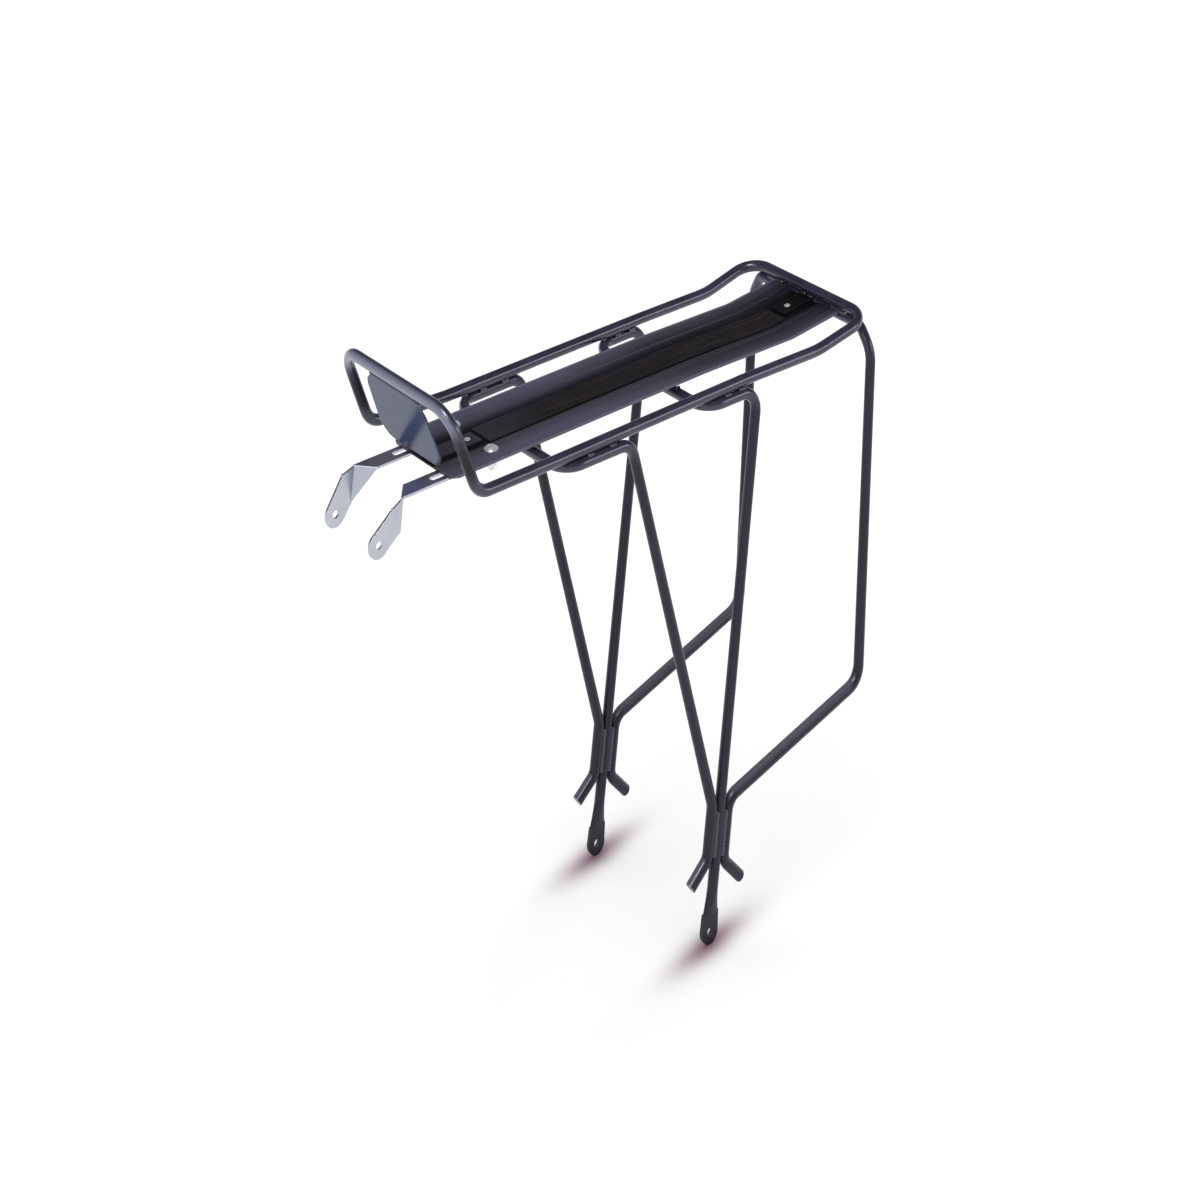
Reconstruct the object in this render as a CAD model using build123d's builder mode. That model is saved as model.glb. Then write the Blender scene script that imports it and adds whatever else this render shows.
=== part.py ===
from build123d import *
import os
from math import acos, sin, sqrt, tan

# Bicycle rear rack: bent-rod frame with a ribbed deck, a front plate and two
# adjustable front stays.
# Millimetres. +X points forward (towards the saddle), +Y to the bicycle's
# left, +Z up. The origin is midway between the two foot eyelet holes.

os.makedirs("parts", exist_ok=True)

# ---------------------------------------------------------------- dimensions
rod_d = 8.4                   # every frame rod, over its paint
rod_r = rod_d / 2
rod_gap = 0.02                # clearance between rods that are welded together
fit_gap = 0.05                # clearance between sheet parts and their neighbours
thin_gap = 0.01               # clearance under fastener heads and in washer stacks

# feet
foot_spacing = 140.0          # between the centre planes of the two feet
eyelet_hole_r = 2.65          # clearance hole for an M5 dropout bolt
eyelet_w = 16.0               # width of the flattened foot
eyelet_t = 3.0                # thickness of the flattened foot
foot_top_z = 26.0             # the leg is round above this height
foot_low_z = 10.0             # and fully flattened here

# middle leg: straight line from the eyelet to its upper end
leg_ref_z = 352.0
leg_lean = -66.0              # x of the leg's centre at leg_ref_z
leg_spread = 2.5              # outward shift of the leg's centre at leg_ref_z

# platform loop
rail_z = 362.4                # centre height of the side rails
rail_y = 70.2                 # half spacing of the side rails at the front
rail_rear_y = 73.4            # half spacing at the rear corners
hoop_y = 72.2                 # half spacing of the front hoop
hoop_base_x = 215.5           # where the rails turn up into the front hoop
hoop_base_z = 364.1
hoop_top_x = 240.5
hoop_top_z = 424.3
rear_bar_x = -192.0
rear_bar_z = 370.8

# cross bars of the leg hoops
front_bar_x = 133.0
middle_bar_x = -11.5
bar_z = rail_z - rod_d - rod_gap         # they touch the rails from below
rear_hoop_z = rear_bar_z - rod_d - 0.15

# deck
deck_top_z = 364.0
deck_half_w = 42.2
deck_front_x = 215.0
deck_rear_x = -187.4
deck_bend_x = -35.0           # the deck sags a little behind this point
deck_dip_x = -134.0           # and rises again from here to the rear bar
deck_dip_z = 361.8
deck_rear_z = 366.3
deck_h = 5.8                  # top face to the foot of the ribs on the cross bars
deck_skin = 2.9               # top face to the flat underside
recess_depth = 1.6            # top face to the floor of the middle recess
deck_bend_r = 60
deck_low_z = deck_top_z - deck_h
under_z = deck_top_z - deck_skin

# grip strip
strip_front_x = 160.0
strip_rear_x = -151.0
strip_half_w = 12.6
strip_base_t = 0.55           # thickness between ribs
strip_rib_t = 0.95            # thickness at the ribs
strip_ribs = 12
strip_depth = recess_depth - 0.03        # top face of the deck to the strip's foot

# front plate and rear tab
plate_top_w = 38.5            # half widths of the front plate
plate_low_w = 41.0
plate_t = 1.4
plate_out = 3.85              # mid surface in front of the hoop's centre plane
plate_len = 56.0              # from the hoop's top bar down, along the plate
tongue_w = 8.0                # half width of its riveted tongue
tongue_z = deck_top_z - recess_depth + fit_gap + plate_t / 2
rear_tab_w = 8.0              # half width
rear_tab_t = 1.5
rear_tab_front_x = -155.5
rear_tab_rear_x = -188.5
tab_low = recess_depth - fit_gap         # depth of the rear tab's lower face
tab_high = tab_low - rear_tab_t

# pop rivets
front_rivet_x = 173.0
rear_rivet_x = -166.0
rivet_hole_r = 1.65

# stays
stay_y = 25.0                 # centre line of each stay arm
stay_w = 15.0
stay_t = 1.8
stay_rear_x = 148.0           # centre of the arm's round rear end
slot_w = 5.6
slot_x0, slot_x1 = 158.0, 226.0
fold_in_x, fold_out_x = 245.0, 257.0     # ends of the diagonal fold, inner and outer
tab_y = 29.4                  # plane of the bolt tabs
tab_r = 9.0
tab_hole = (276.5, 334.5)     # x, z of the tab holes
tab_hole_r = 2.65
arm_z = under_z - fit_gap - stay_t / 2   # middle of the arm's thickness

# clamp bolts of the stays, with their washers and nuts
bolt_x = 168.0
bolt_hole_r = 2.6             # hole in the deck
bolt_r = 2.5
bolt_low_z = 350.0
bolt_tip = 0.6                # chamfer at the bolt's lower end
head_r, head_h, head_rim = 5.6, 3.0, 0.5
socket_r, socket_depth = 1.5, 1.9        # hex socket, across-flats radius
washer_r, washer_t = 6.0, 1.0
lock_r, lock_t = 4.6, 1.2
washer_bore_r = 2.65
nut_r, nut_bore_r, nut_h = 4.0, 2.52, 4.0
seat_z = deck_top_z + thin_gap
washer_z = arm_z - stay_t / 2 - 0.03     # top faces, from the arm downwards
lock_z = washer_z - washer_t - thin_gap
nut_z = lock_z - lock_t - thin_gap


# ------------------------------------------------------------ small geometry
# the deck's rear ramp, which rises from the dip to the deck's rear edge
ramp_len = sqrt((deck_rear_x - deck_dip_x) ** 2 + (deck_rear_z - deck_dip_z) ** 2)
ramp_sin = (deck_rear_z - deck_dip_z) / ramp_len
ramp_cos = (deck_dip_x - deck_rear_x) / ramp_len
ramp_normal = Vector(ramp_sin, 0, ramp_cos)


def on_ramp(x, depth):
    """Point at x on the ramp's top face, moved down its normal by depth."""
    z = deck_dip_z + (deck_dip_x - x) * ramp_sin / ramp_cos
    return Vector(x, 0, z) - ramp_normal * depth


rear_rivet_plane = Plane(origin=on_ramp(rear_rivet_x, 0), x_dir=(0, 1, 0), z_dir=ramp_normal)


def mid_leg(z):
    """Centre of the straight middle leg at height z on the left side."""
    share = z / leg_ref_z
    return Vector(leg_lean * share, foot_spacing / 2 + leg_spread * share, z)


leg_dir = (mid_leg(leg_ref_z) - mid_leg(0.0)).normalized()
leg_side = Vector(leg_dir.Z, 0, -leg_dir.X).normalized()


def beside_leg(z, side):
    """Centre of a rod laid against the middle leg: side +1 front, -1 rear."""
    return mid_leg(z) + leg_side * (side * (rod_d + rod_gap))


def xz(point):
    return (point.X, point.Z)


def plane_through(points):
    """Plane through three points."""
    a, b, c = points
    return Plane(origin=a, x_dir=(b - a).normalized(), z_dir=(b - a).cross(c - a).normalized())


def dome(rim_r, rim_z, top_z):
    """A point between rim and crown on a spherical cap centred on the axis."""
    centre_z = (rim_r ** 2 + rim_z ** 2 - top_z ** 2) / (2 * (rim_z - top_z))
    x = rim_r * 0.55
    return (x, centre_z + sqrt((top_z - centre_z) ** 2 - x * x))


def save(name, part):
    part.label = name
    export_step(part, f"parts/{name}.step")


# ----------------------------------------------------------------- bent rods
def rod_path(points, radii):
    """Wire through points, with each inner corner bent to its radius."""
    corners = [Vector(p) for p in points]
    with BuildLine() as path:
        start = corners[0]
        for before, corner, after, radius in zip(corners, corners[1:], corners[2:], radii):
            back = (before - corner).normalized()
            ahead = (after - corner).normalized()
            half_angle = acos(back.dot(ahead)) / 2
            reach = radius / tan(half_angle)
            arc_start = corner + back * reach
            arc_end = corner + ahead * reach
            inward = (back + ahead).normalized()
            arc_mid = corner + inward * (radius / sin(half_angle) - radius)
            Line(start, arc_start)
            ThreePointArc(arc_start, arc_mid, arc_end)
            start = arc_end
        Line(start, corners[-1])
    return path.wires()[0]


def bent_rod(points, radii):
    """Rod along the left half's points, which start at y = 0, and its mirror image."""
    path = rod_path(points, radii)
    with BuildPart() as rod:
        with BuildSketch(Plane(origin=points[0], z_dir=(0, 1, 0))):
            Circle(rod_r)
        sweep(path=path)
        mirror(about=Plane.XZ)
    return rod.part


# platform loop: rear bar, side rails with a small rise at the rear, leaning hoop
save("platform_loop", bent_rod(
    [(rear_bar_x, 0, rear_bar_z), (rear_bar_x, rail_rear_y, rear_bar_z),
     (-135, rail_y + 0.8, rail_z - 1.4), (-58, rail_y, rail_z), (142, rail_y, rail_z),
     (hoop_base_x, hoop_y, hoop_base_z), (hoop_top_x, hoop_y, hoop_top_z),
     (hoop_top_x, 0, hoop_top_z)],
    [20, 80, 150, 150, 16, 20]))

# front leg hoop: bar, two struts, tails in front of the middle legs
save("front_leg_hoop", bent_rod(
    [(front_bar_x, 0, bar_z), (front_bar_x, 71.2, bar_z), (66.8, 72.3, bar_z),
     beside_leg(80, 1), beside_leg(46, 1), (17.5, 70.5, 35.0)],
    [18, 14, 12, 10]))

# rear leg hoop: bar, uprights, lower runs, tails behind the middle legs
save("rear_leg_hoop", bent_rod(
    [(rear_bar_x, 0, rear_hoop_z), (rear_bar_x, 62, rear_hoop_z),
     (-192.5, 74, 345), (-164, 73, 114), beside_leg(82, -1),
     beside_leg(43, -1), (-32.5, 70.5, 25)],
    [10, 26, 16, 12, 10]))

# ---------------------------- middle leg hoop: bar, two legs, flattened feet
foot_top = mid_leg(foot_top_z)
foot_low = mid_leg(foot_low_z)
foot_plane = Plane.XZ.offset(-foot_spacing / 2)
middle_path = rod_path(
    [(middle_bar_x, 0, bar_z), (middle_bar_x, 71.6, bar_z), mid_leg(bar_z), foot_top],
    [18, 14])
with BuildPart() as middle_leg_hoop:
    with BuildSketch(Plane(origin=(middle_bar_x, 0, bar_z), z_dir=(0, 1, 0))):
        Circle(rod_r)
    sweep(path=middle_path)
    # the rod is pressed flat towards the foot
    with BuildSketch(Plane(origin=foot_top, x_dir=leg_side, z_dir=leg_dir)):
        Circle(rod_r)
    with BuildSketch(Plane(origin=foot_low, x_dir=leg_side, z_dir=leg_dir)):
        Ellipse(eyelet_w / 2 - 0.3, eyelet_t / 2 + 0.15)
    loft()
    # flat eye around the dropout bolt hole
    with BuildSketch(foot_plane):
        with BuildLine():
            eye_x, eye_z = foot_low.X, foot_low.Z + 2
            eye_half_w = eyelet_w / 2 - 0.8
            rear_edge = Line((eye_x - eye_half_w, eye_z), (-eyelet_w / 2, 0.5))
            front_edge = Line((eyelet_w / 2, 0.5), (eye_x + eye_half_w, eye_z))
            ThreePointArc(rear_edge @ 1, (0, -eyelet_w / 2), front_edge @ 0)
            Line(front_edge @ 1, rear_edge @ 0)
        make_face()
        Circle(eyelet_hole_r, mode=Mode.SUBTRACT)
    extrude(amount=eyelet_t / 2, both=True)
    # clear the hole through the flattened rod as well
    with BuildSketch(foot_plane):
        Circle(eyelet_hole_r)
    extrude(amount=eyelet_t * 2, both=True, mode=Mode.SUBTRACT)
    mirror(about=Plane.XZ)
save("middle_leg_hoop", middle_leg_hoop.part)

# -------------------------------------------------- deck: one ribbed extrusion
# Half outlines as (y, height relative to the deck's top face): the top from
# the outer edge to the centre line, the underside from the centre line out.
deck_upper = [
    (deck_half_w - 0.3, -1.3), (deck_half_w, -1.0), (deck_half_w, -0.4),
    (deck_half_w - 0.4, 0.0), (deck_half_w - 2.4, 0.0), (deck_half_w - 2.9, -0.6),
    (deck_half_w - 3.4, 0.0), (23.4, 0.0), (23.0, -1.1), (22.2, -1.1), (21.8, 0.0),
    (19.6, 0.0), (13.2, -recess_depth), (0, -recess_depth)]
deck_under = [
    (0, -deck_skin), (7.8, -deck_skin), (8.0, -deck_h), (9.2, -deck_h),
    (9.4, -deck_skin), (31.3, -deck_skin), (31.5, -deck_h), (32.9, -deck_h),
    (33.1, -deck_skin), (35.5, -deck_skin),
    (deck_half_w - 4.0, -1.7), (deck_half_w - 1.8, -1.3)]
deck_ring = deck_upper + [(-y, z) for y, z in reversed(deck_upper) if y > 0]
deck_ring += [(-y, z) for y, z in reversed(deck_under) if y > 0] + deck_under

with BuildPart() as deck_panel:
    with BuildLine(Plane.XZ) as deck_path:
        FilletPolyline((deck_front_x, deck_top_z), (deck_bend_x, deck_top_z),
                       (deck_dip_x, deck_dip_z), (deck_rear_x, deck_rear_z),
                       radius=deck_bend_r)
    with BuildSketch(Plane(origin=(deck_front_x, 0, deck_top_z),
                           x_dir=(0, 1, 0), z_dir=(1, 0, 0))):
        with BuildLine():
            Polyline(*deck_ring, close=True)
        make_face()
    sweep(path=deck_path.wires()[0])
    # rounded corners in plan
    with BuildSketch(Plane.XY.offset(deck_low_z - 5)) as plan:
        with Locations(((deck_front_x + deck_rear_x) / 2, 0)):
            Rectangle(deck_front_x - deck_rear_x, 2 * deck_half_w)
        fillet(plan.vertices().group_by(Axis.X)[-1], 7)
        fillet(plan.vertices().group_by(Axis.X)[0], 3)
    extrude(amount=20, mode=Mode.INTERSECT)
    # outer ribs milled away over the stays, which swing there, and the inner
    # ones at the front end
    with BuildSketch(Plane.XY.offset(under_z)):
        with Locations((145, 32.2), (145, -32.2)):
            Rectangle(170, 4)
        with Locations((206, 8.6), (206, -8.6)):
            Rectangle(24, 3)
    extrude(amount=-8, mode=Mode.SUBTRACT)
    # holes: stay bolts, front rivet, rear rivet
    with BuildSketch(Plane.XY.offset(deck_low_z - 5)):
        with Locations((bolt_x, stay_y), (bolt_x, -stay_y)):
            Circle(bolt_hole_r)
        with Locations((front_rivet_x, 0)):
            Circle(rivet_hole_r)
    extrude(amount=20, mode=Mode.SUBTRACT)
    with BuildSketch(rear_rivet_plane):
        Circle(rivet_hole_r)
    extrude(amount=10, both=True, mode=Mode.SUBTRACT)
save("deck_panel", deck_panel.part)

# ------------------------------------- grip strip: ribbed insert in the recess
strip_ring = [(-strip_half_w, 0.0)]
for i in range(strip_ribs):
    y = -strip_half_w + i * 2 * strip_half_w / strip_ribs
    strip_ring += [(y, strip_base_t), (y + 0.35, strip_rib_t),
                   (y + 1.45, strip_rib_t), (y + 1.8, strip_base_t)]
strip_ring += [(strip_half_w, strip_base_t), (strip_half_w, 0.0)]
strip_z = deck_top_z - strip_depth
with BuildPart() as grip_strip:
    with BuildLine(Plane.XZ) as strip_path:
        FilletPolyline((strip_front_x, strip_z), (deck_bend_x, strip_z),
                       (deck_dip_x, deck_dip_z - strip_depth),
                       (strip_rear_x, on_ramp(strip_rear_x, 0).Z - strip_depth),
                       radius=deck_bend_r)
    with BuildSketch(Plane(origin=(strip_front_x, 0, strip_z),
                           x_dir=(0, 1, 0), z_dir=(1, 0, 0))):
        with BuildLine():
            Polyline(*strip_ring, close=True)
        make_face()
    sweep(path=strip_path.wires()[0])
save("grip_strip", grip_strip.part)

# ------------- front plate: flat sheet under the hoop's top bar, with a tongue
hoop_up = Vector(hoop_top_x - hoop_base_x, 0, hoop_top_z - hoop_base_z).normalized()
hoop_front = Vector(hoop_up.Z, 0, -hoop_up.X)
plate_origin = Vector(hoop_top_x, 0, hoop_top_z) + hoop_front * plate_out
# the upper edge just clears the round top bar
plate_top = -sqrt((rod_r + fit_gap) ** 2 - (plate_out - plate_t / 2) ** 2)
plate_low = plate_origin - hoop_up * plate_len
with BuildPart() as front_plate:
    with BuildSketch(Plane(origin=plate_origin, x_dir=(0, 1, 0), z_dir=hoop_front)) as outline:
        with BuildLine():
            Polyline((-plate_top_w, plate_top), (-plate_low_w, -plate_len),
                     (plate_low_w, -plate_len), (plate_top_w, plate_top), close=True)
        make_face()
        # both selectors group by the sketch's own Z, not by height on the rack
        fillet(outline.vertices().group_by(Axis.Z)[0], 14)
        fillet(outline.vertices().group_by(Axis.Z)[-1], 1.5)
    extrude(amount=plate_t / 2, both=True)
    # tongue bent back from the plate's lower edge onto the deck's recess floor
    with BuildSketch(Plane.XZ):
        with BuildLine():
            FilletPolyline(xz(plate_low + hoop_up * 8), xz(plate_low),
                           (208, tongue_z), (164, tongue_z), radius=3)
        trace(line_width=plate_t)
    extrude(amount=tongue_w, both=True)
    with BuildSketch(Plane.XY.offset(tongue_z - 3)):
        with Locations((front_rivet_x, 0)):
            Circle(rivet_hole_r)
    extrude(amount=5, mode=Mode.SUBTRACT)
save("front_plate", front_plate.part)

# --------- rear tab: welded between the two rear bars, riveted to the deck
with BuildPart() as rear_tab:
    with BuildSketch(Plane.XZ):
        with BuildLine():
            Polyline(xz(on_ramp(rear_tab_front_x, tab_low)),
                     xz(on_ramp(rear_tab_rear_x, tab_low)),
                     xz(on_ramp(rear_tab_rear_x, tab_high)),
                     xz(on_ramp(rear_tab_front_x, tab_high)), close=True)
        make_face()
    extrude(amount=rear_tab_w, both=True)
    with BuildSketch(rear_rivet_plane):
        Circle(rivet_hole_r)
    extrude(amount=10, both=True, mode=Mode.SUBTRACT)
save("rear_tab", rear_tab.part)


# ----------------------------------------------------------- domed pop rivets
def pop_rivet(seat, up, grip):
    """Rivet whose head sits at seat and whose clamped length is grip."""
    shank_r, tail_r, rim_r = 1.6, 2.4, 2.6
    rim_h, head_top, tail_h = 0.15, 1.1, 1.0
    with BuildPart() as rivet:
        with BuildSketch(Plane(origin=seat, x_dir=(up.Z, 0, -up.X), z_dir=(0, -1, 0))):
            with BuildLine():
                Polyline((0, head_top), (0, -grip - tail_h), (1.9, -grip - tail_h),
                         (tail_r, -grip - 0.5), (tail_r, -grip), (shank_r, -grip),
                         (shank_r, 0), (rim_r, 0), (rim_r, rim_h))
                ThreePointArc((rim_r, rim_h), dome(rim_r, rim_h, head_top), (0, head_top))
            make_face()
        revolve(axis=Axis(tuple(seat), tuple(up)))
    return rivet.part


front_seat = Vector(front_rivet_x, 0, tongue_z + plate_t / 2 + thin_gap)
rear_seat = on_ramp(rear_rivet_x, tab_high - thin_gap)
save("front_rivet", pop_rivet(front_seat, Vector(0, 0, 1), grip=2.77))
save("rear_rivet", pop_rivet(rear_seat, ramp_normal, grip=2.89))


# ------------------------------------------------------------------ the stays
def make_stay(side, front_xz, rear_xz):
    """Slotted flat arm under the deck, folded on a diagonal and twisted into
    an upright tab. side is +1 left, -1 right; front_xz and rear_xz are the
    upper corners of the tab."""
    y_in = side * (stay_y - stay_w / 2)
    y_out = side * (stay_y + stay_w / 2)
    fold_in = Vector(fold_in_x, y_in, arm_z)
    fold_out = Vector(fold_out_x, y_out, arm_z)
    tab_front = Vector(front_xz[0], side * tab_y, front_xz[1])
    tab_rear = Vector(rear_xz[0], side * tab_y, rear_xz[1])
    hole = Vector(tab_hole[0], side * tab_y, tab_hole[1])
    tab_down = Vector(0.616, 0, -0.788).normalized()      # towards the round end
    tab_across = Vector(-tab_down.Z, 0, tab_down.X)
    with BuildPart() as stay:
        # arm
        with BuildSketch(Plane.XY.offset(arm_z)):
            with BuildLine():
                inner = Line((fold_in_x, y_in), (stay_rear_x + stay_w / 2, y_in))
                outer = Line((fold_out_x, y_out), (stay_rear_x + stay_w / 2, y_out))
                ThreePointArc(inner @ 1, (stay_rear_x, side * stay_y), outer @ 1)
                Line(inner @ 0, outer @ 0)
            make_face()
            with Locations(((slot_x0 + slot_x1) / 2, side * stay_y)):
                SlotOverall(slot_x1 - slot_x0, slot_w, mode=Mode.SUBTRACT)
        extrude(amount=stay_t / 2, both=True)
        # two facets of the twisted part
        for facet in ([fold_in, fold_out, tab_rear], [fold_out, tab_front, tab_rear]):
            facet_plane = plane_through(facet)
            corners = [facet_plane.to_local_coords(p) for p in facet]
            with BuildSketch(facet_plane):
                with BuildLine():
                    Polyline(*[(p.X, p.Y) for p in corners], close=True)
                make_face()
            extrude(amount=stay_t / 2, both=True)
        # upright tab with its bolt hole
        round_front = xz(hole + tab_across * tab_r)
        round_low = xz(hole + tab_down * tab_r)
        round_rear = xz(hole - tab_across * tab_r)
        with BuildSketch(Plane.XZ.offset(-side * tab_y)):
            with BuildLine():
                Line(front_xz, round_front)
                ThreePointArc(round_front, round_low, round_rear)
                Line(round_rear, rear_xz)
                Line(rear_xz, front_xz)
            make_face()
            with Locations(tab_hole):
                Circle(tab_hole_r, mode=Mode.SUBTRACT)
        extrude(amount=stay_t / 2, both=True)
        # rounded outside of each bend
        for start, end in ((fold_in, fold_out), (fold_out, tab_rear), (tab_front, tab_rear)):
            with BuildSketch(Plane(origin=start, z_dir=(end - start).normalized())):
                Circle(stay_t / 2)
            extrude(amount=(end - start).length)
        for corner in (fold_in, fold_out, tab_front, tab_rear):
            with Locations(corner):
                Sphere(stay_t / 2)
    return stay.part


# the two are bent slightly differently
save("left_stay", make_stay(1, front_xz=(264.0, 354.0), rear_xz=(257.5, 337.0)))
save("right_stay", make_stay(-1, front_xz=(270.0, 358.7), rear_xz=(262.5, 337.4)))


# ------------------------------- clamp bolt, washers and nut of each stay
def stay_bolt(y):
    """Domed bolt with a hex socket, its head on the deck's top face."""
    cap_x, cap_z = dome(head_r, head_rim, head_h)
    with BuildPart() as bolt:
        with BuildSketch(Plane(origin=(bolt_x, y, 0), x_dir=(1, 0, 0), z_dir=(0, -1, 0))):
            with BuildLine():
                Polyline((0, seat_z + head_h), (0, bolt_low_z),
                         (bolt_r - bolt_tip, bolt_low_z), (bolt_r, bolt_low_z + bolt_tip),
                         (bolt_r, seat_z), (head_r, seat_z), (head_r, seat_z + head_rim))
                ThreePointArc((head_r, seat_z + head_rim), (cap_x, seat_z + cap_z),
                              (0, seat_z + head_h))
            make_face()
        revolve(axis=Axis((bolt_x, y, 0), (0, 0, 1)))
        with BuildSketch(Plane.XY.offset(seat_z + head_h)):
            with Locations((bolt_x, y)):
                RegularPolygon(socket_r, 6, major_radius=False)
        extrude(amount=-socket_depth, mode=Mode.SUBTRACT)
    return bolt.part


def stay_washer(y):
    with BuildPart() as washer:
        with BuildSketch(Plane.XY.offset(washer_z)):
            with Locations((bolt_x, y)):
                Circle(washer_r)
                Circle(washer_bore_r, mode=Mode.SUBTRACT)
        extrude(amount=-washer_t)
    return washer.part


def split_washer(y):
    """Lock washer, cut through at its front."""
    with BuildPart() as washer:
        with BuildSketch(Plane.XY.offset(lock_z)):
            with Locations((bolt_x, y)):
                Circle(lock_r)
                Circle(washer_bore_r, mode=Mode.SUBTRACT)
            with Locations((bolt_x + 3.6, y)):
                Rectangle(3.0, 0.6, rotation=25, mode=Mode.SUBTRACT)
        extrude(amount=-lock_t)
    return washer.part


def stay_nut(y):
    with BuildPart() as nut:
        with BuildSketch(Plane.XY.offset(nut_z)):
            with Locations((bolt_x, y)):
                RegularPolygon(nut_r, 6, major_radius=False)
                Circle(nut_bore_r, mode=Mode.SUBTRACT)
        extrude(amount=-nut_h)
        chamfer(nut.edges().filter_by(Plane.XY).filter_by(GeomType.LINE), 0.3)
    return nut.part


for word, y in (("left", stay_y), ("right", -stay_y)):
    save(f"{word}_stay_bolt", stay_bolt(y))
    save(f"{word}_stay_washer", stay_washer(y))
    save(f"{word}_lock_washer", split_washer(y))
    save(f"{word}_stay_nut", stay_nut(y))
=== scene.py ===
"""A rack of bent, painted rod: three leg hoops under a platform loop, with a
deck panel, a grip strip, a front plate, zinc stays and steel fasteners.

Front is +X, left is +Y and up is +Z. The middle legs stand at x = 0.
The CAD pieces get their materials here, weld beads are added, and the rack is
set on a pale floor in a small studio."""
import itertools
import math

import bmesh
import bpy
import numpy as np
from mathutils import Matrix, Vector, noise


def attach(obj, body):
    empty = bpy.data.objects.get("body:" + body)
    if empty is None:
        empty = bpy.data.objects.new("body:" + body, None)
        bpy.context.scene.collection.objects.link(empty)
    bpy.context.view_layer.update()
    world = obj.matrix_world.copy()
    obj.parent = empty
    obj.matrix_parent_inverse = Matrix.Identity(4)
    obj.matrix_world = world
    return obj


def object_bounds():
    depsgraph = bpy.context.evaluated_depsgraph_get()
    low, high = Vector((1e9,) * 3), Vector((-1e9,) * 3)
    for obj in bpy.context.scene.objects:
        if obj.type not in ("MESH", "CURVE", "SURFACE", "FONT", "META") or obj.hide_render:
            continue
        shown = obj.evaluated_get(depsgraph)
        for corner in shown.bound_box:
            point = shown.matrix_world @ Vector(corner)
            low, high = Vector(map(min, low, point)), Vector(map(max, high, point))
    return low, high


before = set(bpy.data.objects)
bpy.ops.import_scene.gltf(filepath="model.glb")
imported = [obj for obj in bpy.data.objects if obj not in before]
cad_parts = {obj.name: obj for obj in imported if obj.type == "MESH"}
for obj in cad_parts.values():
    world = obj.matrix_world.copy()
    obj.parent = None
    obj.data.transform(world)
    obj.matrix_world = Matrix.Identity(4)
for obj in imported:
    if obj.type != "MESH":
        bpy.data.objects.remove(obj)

MM = 0.001
SIDES = (("left", 1), ("right", -1))

# directions of the leaning front hoop, as used by the paints
HOOP_UP = (0.383, 0.0, 0.924)
HOOP_FORWARD = (0.924, 0.0, -0.383)

cad_lo, cad_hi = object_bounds()
scene = bpy.context.scene
scene.view_settings.view_transform = "Standard"
scene.view_settings.look = "None"


def link_mesh(name, bm):
    """Turn a bmesh into an object in the scene."""
    mesh = bpy.data.meshes.new(name)
    bm.to_mesh(mesh)
    bm.free()
    piece = bpy.data.objects.new(name, mesh)
    scene.collection.objects.link(piece)
    return piece


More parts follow.
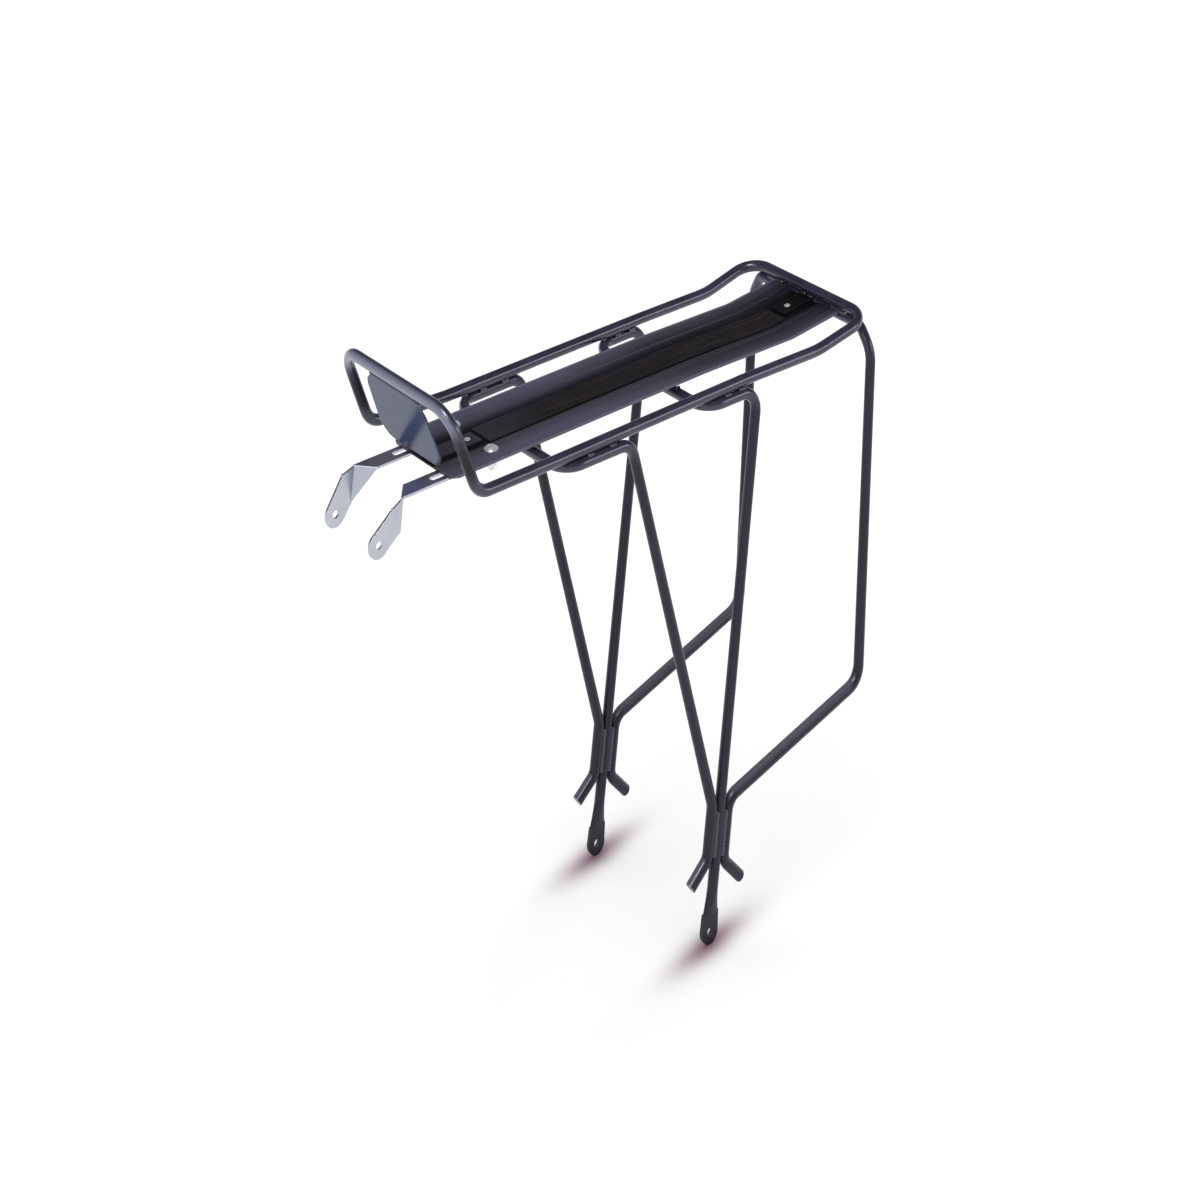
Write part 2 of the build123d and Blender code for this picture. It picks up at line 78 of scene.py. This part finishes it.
# ------------------------------------------------------------ material helper
class NodeMaterial:
    """Builds one node material around a Principled BSDF, in object coordinates."""

    def __init__(self, name):
        self.material = bpy.data.materials.new(name)
        self.material.use_nodes = True
        self.tree = self.material.node_tree
        self.tree.nodes.clear()
        self.output = self.node("ShaderNodeOutputMaterial")
        self.shader = self.node("ShaderNodeBsdfPrincipled")
        self.put(self.output.inputs[0], self.shader.outputs[0])
        self.place = self.node("ShaderNodeTexCoord").outputs["Object"]

    def put(self, socket, value):
        """Link a socket, or set it to a plain value."""
        if isinstance(value, bpy.types.NodeSocket):
            self.tree.links.new(value, socket)
            return
        if isinstance(value, tuple) and len(value) == 3 and socket.type == "RGBA":
            value = (*value, 1.0)
        socket.default_value = value

    def node(self, kind, inputs=None, **settings):
        made = self.tree.nodes.new(kind)
        for key, value in settings.items():
            setattr(made, key, value)
        for key, value in (inputs or {}).items():
            self.put(made.inputs[key], value)
        return made

    def finish(self, **values):
        """Set the Principled inputs and return the material."""
        for key, value in values.items():
            self.put(self.shader.inputs[key.replace("_", " ")], value)
        return self.material

    def noise(self, scale=1.0, detail=3.0, rough=0.55, distortion=0.0, stretch=None):
        """Noise; stretch gives the frequency along each axis."""
        place = self.place
        if stretch:
            mapping = {"Vector": place, "Scale": stretch}
            place = self.node("ShaderNodeMapping", mapping).outputs[0]
        return self.node("ShaderNodeTexNoise", {
            "Scale": scale, "Detail": detail, "Roughness": rough,
            "Distortion": distortion, "Vector": place}).outputs["Fac"]

    def cells(self, scale):
        inputs = {"Scale": scale, "Vector": self.place}
        return self.node("ShaderNodeTexVoronoi", inputs, feature="F1").outputs["Distance"]

    def patches(self, value, over):
        """Smooth 0 to 1 ramp, for speckles and streaks."""
        made = self.node("ShaderNodeValToRGB", {"Fac": value})
        made.color_ramp.interpolation = "EASE"
        for element, position, level in zip(made.color_ramp.elements, over, (0, 1)):
            element.position = position
            element.color = (level, level, level, 1)
        return made.outputs["Color"]

    def remap(self, value, over=(0.0, 1.0), to=(0.0, 1.0)):
        """Clamped linear map of one range to another."""
        return self.node("ShaderNodeMapRange", {
            "Value": value, "From Min": over[0], "From Max": over[1],
            "To Min": to[0], "To Max": to[1]}, clamp=True).outputs[0]

    def calc(self, operation, a, b=0.0, clamp=False):
        return self.node("ShaderNodeMath", {0: a, 1: b},
                         operation=operation, use_clamp=clamp).outputs[0]

    def add(self, a, b):
        return self.calc("ADD", a, b)

    def multiply(self, a, b):
        return self.calc("MULTIPLY", a, b)

    def tint(self, base, colour, mask, amount=None):
        """Lay a colour over the base where the mask is high."""
        if amount is not None:
            mask = self.multiply(mask, amount)
        # inputs 6 and 7 and output 2 are the colour sockets
        return self.node("ShaderNodeMix", {0: mask, 6: base, 7: colour},
                         data_type="RGBA", blend_type="MIX").outputs[2]

    def mottle(self, cloud, dark, pale, over=(0.3, 0.7)):
        """Two shades of a colour, divided by a noise."""
        return self.tint(dark, pale, self.remap(cloud, over))

    def split(self, vector, axis):
        return self.node("ShaderNodeSeparateXYZ", {0: vector}).outputs[axis]

    def axis(self, name):
        return self.split(self.place, name)

    def geometry(self, output):
        return self.node("ShaderNodeNewGeometry").outputs[output]

    def normal_dot(self, direction):
        return self.node("ShaderNodeVectorMath", {0: direction, 1: self.geometry("Normal")},
                         operation="DOT_PRODUCT").outputs["Value"]

    def facing(self, direction, over):
        """0 to 1 as the surface turns towards a direction."""
        dot = self.node("ShaderNodeVectorMath", {0: self.geometry("Normal"), 1: direction},
                        operation="DOT_PRODUCT")
        return self.remap(dot.outputs["Value"], over)

    def bevel(self, radius):
        return self.node("ShaderNodeBevel", {"Radius": radius}, samples=6).outputs[0]

    def edges(self, radius):
        """1 on sharp edges, 0 on open faces."""
        return self.remap(self.normal_dot(self.bevel(radius)), over=(0.80, 0.995), to=(1, 0))

    def bump(self, height, strength, distance, normal=None):
        inputs = {"Strength": strength, "Distance": distance, "Height": height}
        if normal is not None:
            inputs["Normal"] = normal
        return self.node("ShaderNodeBump", inputs).outputs[0]


# ------------------------------------------------------------------ materials
def rod_paint():
    m = NodeMaterial("paint_rod")
    cloud = m.noise(scale=38, detail=4)
    scuff = m.noise(scale=170, detail=5, rough=0.7)
    peel = m.noise(scale=760, detail=2)
    base = m.mottle(cloud, (0.022, 0.021, 0.038), (0.034, 0.032, 0.056), over=(0.35, 0.65))
    speckle = m.patches(m.noise(scale=420, detail=2), over=(0.60, 0.72))
    base = m.tint(base, (0.066, 0.064, 0.105), speckle, amount=0.30)

    # painted shade: everything below the platform is darker
    legs = m.remap(m.axis("Z"), over=(0.338, 0.354), to=(1, 0))
    base = m.tint(base, (0.012, 0.010, 0.015), legs, amount=0.65)

    # painted highlight: the top of the front hoop is pale on its forward face
    crown_highlight = m.multiply(m.remap(m.axis("Z"), over=(0.4040, 0.4160)),
                       m.facing(HOOP_FORWARD, over=(-0.15, 0.55)))
    base = m.tint(base, (0.195, 0.202, 0.255), crown_highlight, amount=0.90)

    # painted shade: its upright sides are nearly black
    upright = m.multiply(m.remap(m.axis("Z"), over=(0.3720, 0.3800)),
                         m.remap(m.axis("Z"), over=(0.3960, 0.4120), to=(1, 0)))
    outboard = m.remap(m.calc("ABSOLUTE", m.axis("Y")), over=(0.056, 0.064))
    upright = m.multiply(upright, outboard)
    base = m.tint(base, (0.008, 0.007, 0.010), upright, amount=0.90)

    # painted highlight: the low rods are paler on top
    top = m.multiply(legs, m.facing((0.0, 0.0, 1.0), over=(0.40, 0.85)))
    base = m.tint(base, (0.120, 0.118, 0.150), top, amount=0.80)

    dull = m.calc("MAXIMUM", legs, upright)
    scuffed = m.bump(scuff, strength=0.04, distance=0.0003)
    return m.finish(
        Base_Color=base,
        Roughness=m.add(m.remap(cloud, to=(0.25, 0.34)),
                        m.remap(scuff, over=(0.35, 0.8), to=(-0.04, 0.08))),
        Normal=m.bump(peel, strength=0.10, distance=0.00030, normal=scuffed),
        IOR=1.42,
        Specular_IOR_Level=m.remap(dull, to=(0.5, 0.24)),
        Coat_Weight=m.remap(dull, to=(0.48, 0.22)),
        Coat_Roughness=0.16, Coat_IOR=1.45, Coat_Tint=(0.82, 0.86, 1.0),
        Coat_Normal=m.bump(peel, strength=0.05, distance=0.0002))


def deck_paint():
    m = NodeMaterial("paint_deck")
    cloud = m.noise(scale=26, detail=4)
    draw = m.noise(detail=3, rough=0.6, stretch=(6, 1500, 900))    # extrusion lines along X
    grain = m.noise(scale=1500, detail=2)
    y = m.calc("ABSOLUTE", m.axis("Y"))
    base = m.mottle(cloud, (0.048, 0.046, 0.084), (0.064, 0.060, 0.104))
    drawn = m.remap(draw, over=(0.45, 0.75), to=(0.0, 0.5))
    base = m.tint(base, (0.082, 0.078, 0.125), drawn)

    # painted shade, darker inboard
    shade = m.remap(y, over=(0.016, 0.034), to=(1, 0))
    base = m.tint(base, (0.008, 0.006, 0.010), shade, amount=0.70)

    # streaky and dark towards the rear
    rear = m.multiply(m.remap(m.axis("X"), over=(-0.045, 0.060), to=(0.80, 0)),
                      m.remap(y, over=(0.030, 0.040), to=(1, 0.45)))
    streak = m.noise(detail=4, rough=0.6, stretch=(9, 260, 200))
    streak = m.remap(streak, over=(0.35, 0.65), to=(0.75, 1.15))
    base = m.tint(base, (0.006, 0.004, 0.008), m.calc("MULTIPLY", rear, streak, clamp=True))

    # nearly black along the middle, a painted highlight on the outer lips, pale on sharp
    # edges
    centre = m.remap(y, over=(0.0128, 0.0190), to=(1, 0))
    base = m.tint(base, (0.004, 0.003, 0.004), centre)
    lip_highlight = m.remap(y, over=(0.0390, 0.0400), to=(0, 0.6))
    base = m.tint(base, (0.125, 0.130, 0.175), lip_highlight)
    base = m.tint(base, (0.12, 0.11, 0.17), m.edges(radius=0.0005), amount=0.40)

    relief = m.add(m.multiply(draw, 0.7), m.multiply(grain, 0.5))
    return m.finish(
        Base_Color=base,
        Roughness=m.add(m.remap(draw, over=(0.3, 0.7), to=(0.34, 0.50)),
                        m.remap(grain, to=(-0.05, 0.07))),
        Normal=m.bump(relief, strength=0.22, distance=0.0002, normal=m.bevel(0.00040)),
        IOR=1.5,
        Specular_IOR_Level=m.remap(y, over=(0.014, 0.030), to=(0.18, 0.5)),
        Coat_Weight=m.remap(y, over=(0.018, 0.034), to=(0, 0.15)),
        Coat_Roughness=0.25)


def plate_paint():
    m = NodeMaterial("paint_plate")
    cloud = m.noise(scale=16, detail=4, rough=0.5, distortion=0.6)
    fine = m.noise(scale=900, detail=2)
    base = m.mottle(cloud, (0.028, 0.042, 0.090), (0.039, 0.055, 0.110))
    flecks = m.remap(fine, over=(0.5, 0.8), to=(0, 0.25))
    base = m.tint(base, (0.060, 0.072, 0.110), flecks)
    base = m.tint(base, (0.12, 0.13, 0.18), m.edges(radius=0.0004), amount=0.5)
    # painted highlight: faces turned up along the hoop are paler
    base = m.tint(base, (0.150, 0.160, 0.200), m.facing(HOOP_UP, over=(0.35, 0.80)))

    # the tongue at the bottom is dull, and dark with painted shade
    tongue = m.remap(m.axis("Z"), over=(0.3655, 0.3735), to=(1, 0))
    base = m.tint(base, (0.030, 0.027, 0.042), tongue)

    rough = m.add(m.remap(cloud, over=(0.3, 0.7), to=(0.17, 0.23)),
                  m.remap(fine, to=(0, 0.03)))
    return m.finish(
        Base_Color=base,
        Roughness=m.add(rough, m.multiply(tongue, 0.4)),
        Normal=m.bump(m.noise(scale=55, detail=2), strength=0.08, distance=0.0006,
                      normal=m.bevel(0.0004)),
        IOR=1.25, Coat_Weight=0.04, Coat_Roughness=0.08)


def grip_rubber():
    m = NodeMaterial("rubber_grip")
    cloud = m.noise(scale=45, detail=4)
    base = m.mottle(cloud, (0.006, 0.004, 0.006), (0.011, 0.008, 0.010))
    dust = m.patches(m.noise(detail=4, rough=0.6, stretch=(14, 330, 330)), over=(0.48, 0.72))
    base = m.tint(base, (0.040, 0.026, 0.036), dust, amount=0.60)
    # paler towards the front end
    front = m.remap(m.axis("X"), over=(0.105, 0.150), to=(0, 0.80))
    base = m.tint(base, (0.026, 0.023, 0.036), front)
    return m.finish(
        Base_Color=base,
        Roughness=m.remap(cloud, to=(0.58, 0.74)),
        Normal=m.bump(m.cells(scale=1400), strength=0.35, distance=0.0003,
                      normal=m.bevel(0.0002)),
        IOR=1.45, Specular_IOR_Level=0.16, Sheen_Weight=0.02, Sheen_Roughness=0.5)


def zinc_steel():
    m = NodeMaterial("zinc_stay")
    cloud = m.noise(scale=40, detail=3, rough=0.5, distortion=0.4)
    brush = m.noise(detail=3, rough=0.6, stretch=(25, 700, 700))
    base = m.mottle(cloud, (0.44, 0.46, 0.515), (0.52, 0.535, 0.58))
    spangle = m.remap(m.cells(scale=230), over=(0.2, 0.8))
    base = m.tint(base, (0.38, 0.40, 0.47), spangle, amount=0.18)
    # painted highlight: level faces are paler
    level_highlight = m.calc("ABSOLUTE", m.split(m.geometry("Normal"), "Z"))
    base = m.tint(base, (0.66, 0.66, 0.80), m.remap(level_highlight, over=(0.80, 0.99)))
    base = m.tint(base, (0.66, 0.67, 0.70), m.edges(radius=0.0004), amount=0.35)
    return m.finish(
        Base_Color=base, Metallic=1.0,
        Roughness=m.add(m.remap(brush, over=(0.3, 0.7), to=(0.27, 0.32)),
                        m.remap(cloud, to=(-0.02, 0.03))),
        Normal=m.bump(brush, strength=0.012, distance=0.0002, normal=m.bevel(0.00035)))


def bright_steel():
    m = NodeMaterial("steel_fastener")
    cloud = m.noise(scale=300, detail=4)
    turning = m.noise(detail=3, rough=0.6, stretch=(900, 900, 4200))
    base = m.mottle(cloud, (0.66, 0.66, 0.68), (0.84, 0.83, 0.82))
    pits = m.patches(m.noise(scale=1300, detail=3), over=(0.66, 0.78))
    base = m.tint(base, (0.30, 0.27, 0.25), pits, amount=0.5)
    return m.finish(
        Base_Color=base, Metallic=0.60,
        Roughness=m.add(m.remap(cloud, to=(0.13, 0.26)), m.remap(turning, to=(0, 0.08))),
        Normal=m.bump(turning, strength=0.12, distance=0.0001, normal=m.bevel(0.00025)),
        IOR=1.8)


def weld_paint():
    m = NodeMaterial("paint_weld")
    cloud = m.noise(scale=240, detail=4)
    return m.finish(
        Base_Color=m.mottle(cloud, (0.016, 0.015, 0.026), (0.032, 0.028, 0.045)),
        Roughness=m.remap(cloud, to=(0.26, 0.42)),
        Normal=m.bump(m.noise(scale=900, detail=3), strength=0.3, distance=0.0003),
        IOR=1.5, Coat_Weight=0.4, Coat_Roughness=0.18)


def paint_pieces():
    """Give each CAD piece one material: stays are zinc, unnamed pieces are fasteners."""
    rod, deck = rod_paint(), deck_paint()
    finishes = {
        "platform_loop": rod, "front_leg_hoop": rod, "middle_leg_hoop": rod,
        "rear_leg_hoop": rod, "rear_tab": deck, "deck_panel": deck,
        "front_plate": plate_paint(), "grip_strip": grip_rubber()}
    zinc, bright = zinc_steel(), bright_steel()
    for name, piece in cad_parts.items():
        finish = finishes.get(name) or (zinc if name.endswith("_stay") else bright)
        piece.data.materials.clear()
        piece.data.materials.append(finish)
        for face in piece.data.polygons:
            face.material_index = 0


paint_pieces()
weld = weld_paint()

# ------------------------------------------------------- weld beads, in mm
BEAD_SIDES = 16
STEPS_PER_RIPPLE = 7
MIN_STEPS = 14
bead_seeds = itertools.count(1)


def point_along(points, lengths, distance):
    """Point and direction at a distance along a polyline."""
    last = len(points) - 2
    i = next(i for i in range(last + 1) if distance <= lengths[i + 1] or i == last)
    share = (distance - lengths[i]) / max(lengths[i + 1] - lengths[i], 1e-9)
    start, end = points[i], points[i + 1]
    return start.lerp(end, share), (end - start).normalized()


def bead(name, points, radius, pitch=2.1):
    """A rippled weld bead: a closed tube along points, each ripple a small
    swell, with rounded ends."""
    seed = next(bead_seeds)
    points = [Vector(point) * MM for point in points]
    radius, pitch = radius * MM, pitch * MM
    lengths = [0.0]
    for a, b in zip(points, points[1:]):
        lengths.append(lengths[-1] + (b - a).length)
    total = lengths[-1]
    steps = max(MIN_STEPS, int(total / pitch * STEPS_PER_RIPPLE))

    bm = bmesh.new()
    rings = []
    for i in range(1, steps):
        distance = total * i / steps
        centre, direction = point_along(points, lengths, distance)
        # any fixed vector that no bead runs along
        across = direction.cross(Vector((0.13, 0.31, 0.94))).normalized()
        up = across.cross(direction)
        swell = 0.86 + 0.16 * math.sin(math.pi * ((distance / pitch) % 1.0)) ** 0.6
        to_end = min(distance, total - distance)
        taper = math.sqrt(max(0.0, 1 - (1 - min(to_end / radius, 1.0)) ** 2))
        wander = 1 + 0.07 * noise.noise(Vector((distance * 300, seed * 3.7, 1.3)))
        ring_radius = radius * swell * taper * wander
        ring = []
        for k in range(BEAD_SIDES):
            angle = 2 * math.pi * k / BEAD_SIDES
            spoke = across * math.cos(angle) + up * math.sin(angle)
            spot = centre * 900 + spoke * 2 + Vector((seed, 0, 0))
            jitter = 1 + 0.05 * noise.noise(spot)
            ring.append(bm.verts.new(centre + spoke * ring_radius * jitter))
        rings.append(ring)
    first, last = bm.verts.new(points[0]), bm.verts.new(points[-1])
    around = [(k, (k + 1) % BEAD_SIDES) for k in range(BEAD_SIDES)]
    for a, b in zip(rings, rings[1:]):
        for k, after in around:
            bm.faces.new((a[k], a[after], b[after], b[k]))
    for k, after in around:
        bm.faces.new((first, rings[0][after], rings[0][k]))
        bm.faces.new((last, rings[-1][k], rings[-1][after]))
    bmesh.ops.recalc_face_normals(bm, faces=bm.faces)

    piece = link_mesh(name, bm)
    for face in piece.data.polygons:
        face.use_smooth = True
    piece.data.materials.append(weld)
    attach(piece, "root")


ROD_R = 4.2
RAIL_Y, RAIL_Z = 70.2, 362.4        # centre of the platform loop's side rail
BAR_Z = 353.98                      # centre of the leg hoops' cross bars
CORNER_R = 18                       # bend of a leg hoop's corner
RAIL_INSET = 3.3                    # from the rail's centre, inboard and down
# name, bar x, hoop's half width, x spans of the runs from the bar, y of the deck rib
LEG_HOOPS = (
    ("front", 133.0, 71.2, ((-22, -29), (-44, -51)), 9.4),
    ("middle", -11.5, 71.6, ((-19, -26), (-34, -41)), 36.4))

LEG_FOOT_Y = 70.0
LEG_RISE = Vector((-66.0, 2.5, 352.0))      # left middle leg, foot to top
LEG_FORWARD = Vector((LEG_RISE.z, 0, -LEG_RISE.x)).normalized()
LEG_WELD_Z = (47.0, 56.0, 66.0, 77.0)

REAR_X, REAR_Z = -192, 366.53       # between the two rear bars
TAB_X, TAB_Z = -189.2, 366.4

HOOP_TOP = Vector((240.5, 0, 424.3))        # centre of the front hoop's top bar
HOOP_U = Vector((25.0, 0, 60.2)).normalized()
HOOP_N = Vector((HOOP_U.z, 0, -HOOP_U.x))


def weld_leg_hoop(word, side, bar, bar_x, half_width, runs, rib_y):
    # the hoop's corner passes under the rail
    y, z = RAIL_Y - RAIL_INSET, RAIL_Z - RAIL_INSET
    bend_y = half_width - CORNER_R
    x = bar_x - CORNER_R + math.sqrt(CORNER_R ** 2 - (y - bend_y) ** 2)
    bead(f"weld_{bar}_{word}_rail",
         [(x - 3.0, side * (y + 0.2), z), (x + 3.0, side * y, z)], radius=1.4)
    # its run is laid along the rail
    z = (RAIL_Z + BAR_Z) / 2
    for k, (start, end) in enumerate(runs):
        for tag, offset in (("out", 3.1), ("in", -2.4)):
            y = side * (RAIL_Y + offset)
            bead(f"weld_{bar}_{word}_run{k}_{tag}",
                 [(bar_x + start, y, z), (bar_x + end, y, z)], radius=1.45, pitch=2.3)
    # deck rib standing on the cross bar
    y, z = side * rib_y, BAR_Z + ROD_R
    for tag, way in (("a", -1), ("b", 1)):
        bead(f"weld_{bar}_{word}_deck_{tag}",
             [(bar_x + way * 2.2, y, z - 0.3),
              (bar_x + way * 0.2, y + side * 0.7, z + 0.1)], radius=1.25)


def weld_leg_group(word, side):
    """Long fillets in the grooves; "out" is the +Y face on both legs."""
    for tag, way in (("front", 1), ("rear", -1)):
        for face, y_way in (("out", 1), ("in", -1)):
            points = []
            for z in LEG_WELD_Z:
                share = z / LEG_RISE.z
                y = side * (LEG_FOOT_Y + LEG_RISE.y * share) + y_way * 2.5
                on_leg = Vector((LEG_RISE.x * share, y, z))
                points.append(on_leg + LEG_FORWARD * (way * (ROD_R + 0.01)))
            bead(f"weld_{word}_leg_{tag}_{face}", points, radius=1.95, pitch=2.4)


def weld_rear(word, side):
    # rear leg hoop's bar under the loop's rear bar
    for face, way in (("back", -1), ("front", 1)):
        x = REAR_X + way * 2.6
        bead(f"weld_{word}_rear_bar_{face}",
             [(x, side * 30, REAR_Z), (x, side * 50, REAR_Z)], radius=1.9, pitch=2.4)
    bead(f"weld_{word}_rear_tab",
         [(TAB_X, side * 1.0, TAB_Z), (TAB_X, side * 7.2, TAB_Z)], radius=1.35)


def weld_plate(word, side):
    """Short beads on the forward lower side of the front hoop's top bar."""
    line = HOOP_TOP + HOOP_N * 2.75 - HOOP_U * 3.6
    for k, span in enumerate(((10.0, 17.0), (26.0, 33.0))):
        bead(f"weld_{word}_plate{k}",
             [line + Vector((0, side * y, 0)) for y in span], radius=1.25)


for word, side in SIDES:
    for hoop in LEG_HOOPS:
        weld_leg_hoop(word, side, *hoop)
    weld_leg_group(word, side)
    weld_rear(word, side)
for word, side in SIDES:
    weld_plate(word, side)

# ---------------------------------------------------------- floor, in metres
FOOT_X, FOOT_Y = 0.0, 0.070
SHADE_LONG, SHADE_WIDE = 0.041, 0.0120      # reach of the shade under a foot
SHADE_X, SHADE_Y = 0.986, 0.166             # direction of its long axis


def floor_paper():
    m = NodeMaterial("floor_paper")
    grain = m.noise(scale=90, detail=3)
    base = m.tint((0.962, 0.960, 0.962), (0.975, 0.974, 0.975), grain)
    # soft shade under each middle foot, drawn out along the two suns
    x, y = m.axis("X"), m.axis("Y")
    for side in (1, -1):
        dx = m.calc("SUBTRACT", x, FOOT_X)
        dy = m.calc("SUBTRACT", y, side * FOOT_Y)
        along = m.add(m.multiply(dx, SHADE_X), m.multiply(dy, SHADE_Y))
        across = m.calc("SUBTRACT", m.multiply(dx, SHADE_Y), m.multiply(dy, SHADE_X))
        spread = m.add(m.calc("POWER", m.calc("DIVIDE", along, SHADE_LONG), 2.0),
                       m.calc("POWER", m.calc("DIVIDE", across, SHADE_WIDE), 2.0))
        shade = m.calc("EXPONENT", m.multiply(spread, -1.0))
        base = m.tint(base, (0.27, 0.155, 0.205), shade, amount=0.96)
    m.finish(Base_Color=base, Roughness=0.9, Specular_IOR_Level=0.1,
             Normal=m.bump(grain, strength=0.02, distance=0.001))
    # seen from below, the floor lets the camera through to the underside
    camera_ray = m.node("ShaderNodeLightPath").outputs["Is Camera Ray"]
    see_through = m.node("ShaderNodeMixShader", {
        0: m.multiply(m.geometry("Backfacing"), camera_ray),
        1: m.shader.outputs[0],
        2: m.node("ShaderNodeBsdfTransparent").outputs[0]})
    m.put(m.output.inputs[0], see_through.outputs[0])
    return m.material


def stage_floor():
    bm = bmesh.new()
    bmesh.ops.create_grid(bm, x_segments=2, y_segments=2, size=30)
    floor = link_mesh("floor", bm)
    floor.location = (0, 0, cad_lo.z - 0.0004)
    floor.data.materials.append(floor_paper())


stage_floor()

# ------------------------------------------------------------ world and lights
DIFFUSE_LIGHT = 0.92
REFLECTION_TINT = (0.93, 0.94, 1.06)
# height of the direction (0 horizon, 1 overhead), brightness
REFLECTION_STOPS = ((0.0, 0.75), (0.10, 0.55), (0.30, 0.10), (0.80, 0.06), (1.0, 0.10))


def studio_world():
    """Even pale light for diffuse surfaces, and for reflections a bright
    horizon under a darker ceiling."""
    world = bpy.data.worlds.new("studio")
    scene.world = world
    world.use_nodes = True
    nodes, link = world.node_tree.nodes, world.node_tree.links.new
    nodes.clear()
    output = nodes.new("ShaderNodeOutputWorld")
    path = nodes.new("ShaderNodeLightPath")
    plain = nodes.new("ShaderNodeBackground")
    plain.inputs["Color"].default_value = (1.0, 1.0, 1.0, 1)
    plain.inputs["Strength"].default_value = DIFFUSE_LIGHT
    shiny = nodes.new("ShaderNodeBackground")
    shiny.inputs["Strength"].default_value = 1.0
    coordinates = nodes.new("ShaderNodeTexCoord")
    height = nodes.new("ShaderNodeSeparateXYZ")
    ramp = nodes.new("ShaderNodeValToRGB")
    ramp.color_ramp.interpolation = "EASE"
    elements = ramp.color_ramp.elements
    while len(elements) < len(REFLECTION_STOPS):
        elements.new(0.5)
    for element, (position, level) in zip(elements, REFLECTION_STOPS):
        element.position = position
        element.color = (*(level * part for part in REFLECTION_TINT), 1)
    mix = nodes.new("ShaderNodeMixShader")
    link(coordinates.outputs["Generated"], height.inputs[0])
    link(height.outputs["Z"], ramp.inputs["Fac"])
    link(ramp.outputs["Color"], shiny.inputs["Color"])
    link(path.outputs["Is Glossy Ray"], mix.inputs[0])
    link(plain.outputs[0], mix.inputs[1])
    link(shiny.outputs[0], mix.inputs[2])
    link(mix.outputs[0], output.inputs[0])


def link_light(light, direction):
    """Link a light that shines from a direction."""
    lamp = bpy.data.objects.new(light.name, light)
    lamp.rotation_mode = "QUATERNION"
    lamp.rotation_quaternion = Vector(direction).normalized().to_track_quat("Z", "Y")
    scene.collection.objects.link(lamp)
    return lamp


def sun(name, direction):
    """A soft sun that isn't seen in reflections."""
    light = bpy.data.lights.new(name, "SUN")
    light.energy = 0.55
    light.angle = math.radians(30)
    link_light(light, direction).visible_glossy = False


def softbox(name, direction, distance, size, radiance, colour=(1, 1, 1)):
    """An area light that only shows in reflections."""
    width, height = size
    light = bpy.data.lights.new(name, "AREA")
    light.shape = "RECTANGLE"
    light.size, light.size_y = width, height
    light.energy = radiance * math.pi * width * height
    light.color = colour
    lamp = link_light(light, direction)
    lamp.location = Vector((0, 0, 0.2)) + Vector(direction).normalized() * distance
    lamp.visible_diffuse = False
    lamp.visible_camera = False


studio_world()
sun("sun_front", (0.97, 0.23, 0.95))
sun("sun_rear", (-0.97, -0.23, 0.95))
softbox("box_side", (-0.60, 0.74, 0.30), distance=3.0, size=(1.5, 0.9), radiance=6.0,
        colour=(0.92, 0.94, 1.0))
softbox("box_front", (0.85, 0.35, 0.42), distance=3.0, size=(1.3, 1.1), radiance=3.0,
        colour=(0.95, 0.96, 1.0))
softbox("box_glint", (0.42, 0.35, 0.84), distance=2.6, size=(0.9, 0.9), radiance=22.0)

# --------------------------------------------------------------------- camera
AZIMUTH, ELEVATION, ROLL = (math.radians(v) for v in (142.01668, 26.12880, -1.60173))
LEAN = 0.66920782                                   # radians
LENS, SENSOR = 103.935798, 36.0                     # mm
TARGET = np.array((0.0, 0.0, 180.0))                # mm
OFFSET = np.array((-35.6462, 15.8757, 2805.2051))   # mm right, up and back from the target


def proper_turn(turn):
    """Whether a 3 x 3 matrix is a turn with no mirroring."""
    return np.linalg.det(turn) >= 0


def camera():
    """The view is stretched upwards against its width: the camera's up axis
    leans towards its viewing axis. A leaning axis is a product of two turns
    and a scale, so the camera hangs from an empty that holds the first turn
    and the scale."""
    back = np.array((math.sin(AZIMUTH) * math.cos(ELEVATION),
                     -math.cos(AZIMUTH) * math.cos(ELEVATION), math.sin(ELEVATION)))
    level = np.cross(-back, (0, 0, 1.0))
    level /= np.linalg.norm(level)
    upright = np.cross(level, -back)
    right = level * math.cos(ROLL) + upright * math.sin(ROLL)
    up = -level * math.sin(ROLL) + upright * math.cos(ROLL)
    place = (TARGET + np.stack((right, up, back)).T @ OFFSET) * MM

    leaning_up = math.cos(LEAN) * up + math.sin(LEAN) * back
    outer, scale, inner = np.linalg.svd(np.stack((right, leaning_up, back)).T)
    mirror = np.array((1, 1, -1.0))
    if not proper_turn(outer):
        outer[:, 2] *= -1
        scale = scale * mirror
    if not proper_turn(inner):
        inner[2, :] *= -1
        scale = scale * mirror

    holder = bpy.data.objects.new("camera_holder", None)
    holder.rotation_mode = "QUATERNION"
    holder.rotation_quaternion = Matrix(outer.tolist()).to_quaternion()
    holder.scale = scale.tolist()
    scene.collection.objects.link(holder)

    lens = bpy.data.cameras.new("camera")
    lens.sensor_width = SENSOR
    lens.lens = LENS
    lens.clip_start, lens.clip_end = 0.05, 100
    eye = bpy.data.objects.new("camera", lens)
    eye.parent = holder
    eye.rotation_mode = "QUATERNION"
    eye.rotation_quaternion = Matrix(inner.tolist()).to_quaternion()
    eye.location = (np.linalg.inv(outer @ np.diag(scale)) @ place).tolist()
    scene.collection.objects.link(eye)
    scene.camera = eye


camera()
bpy.context.view_layer.update()
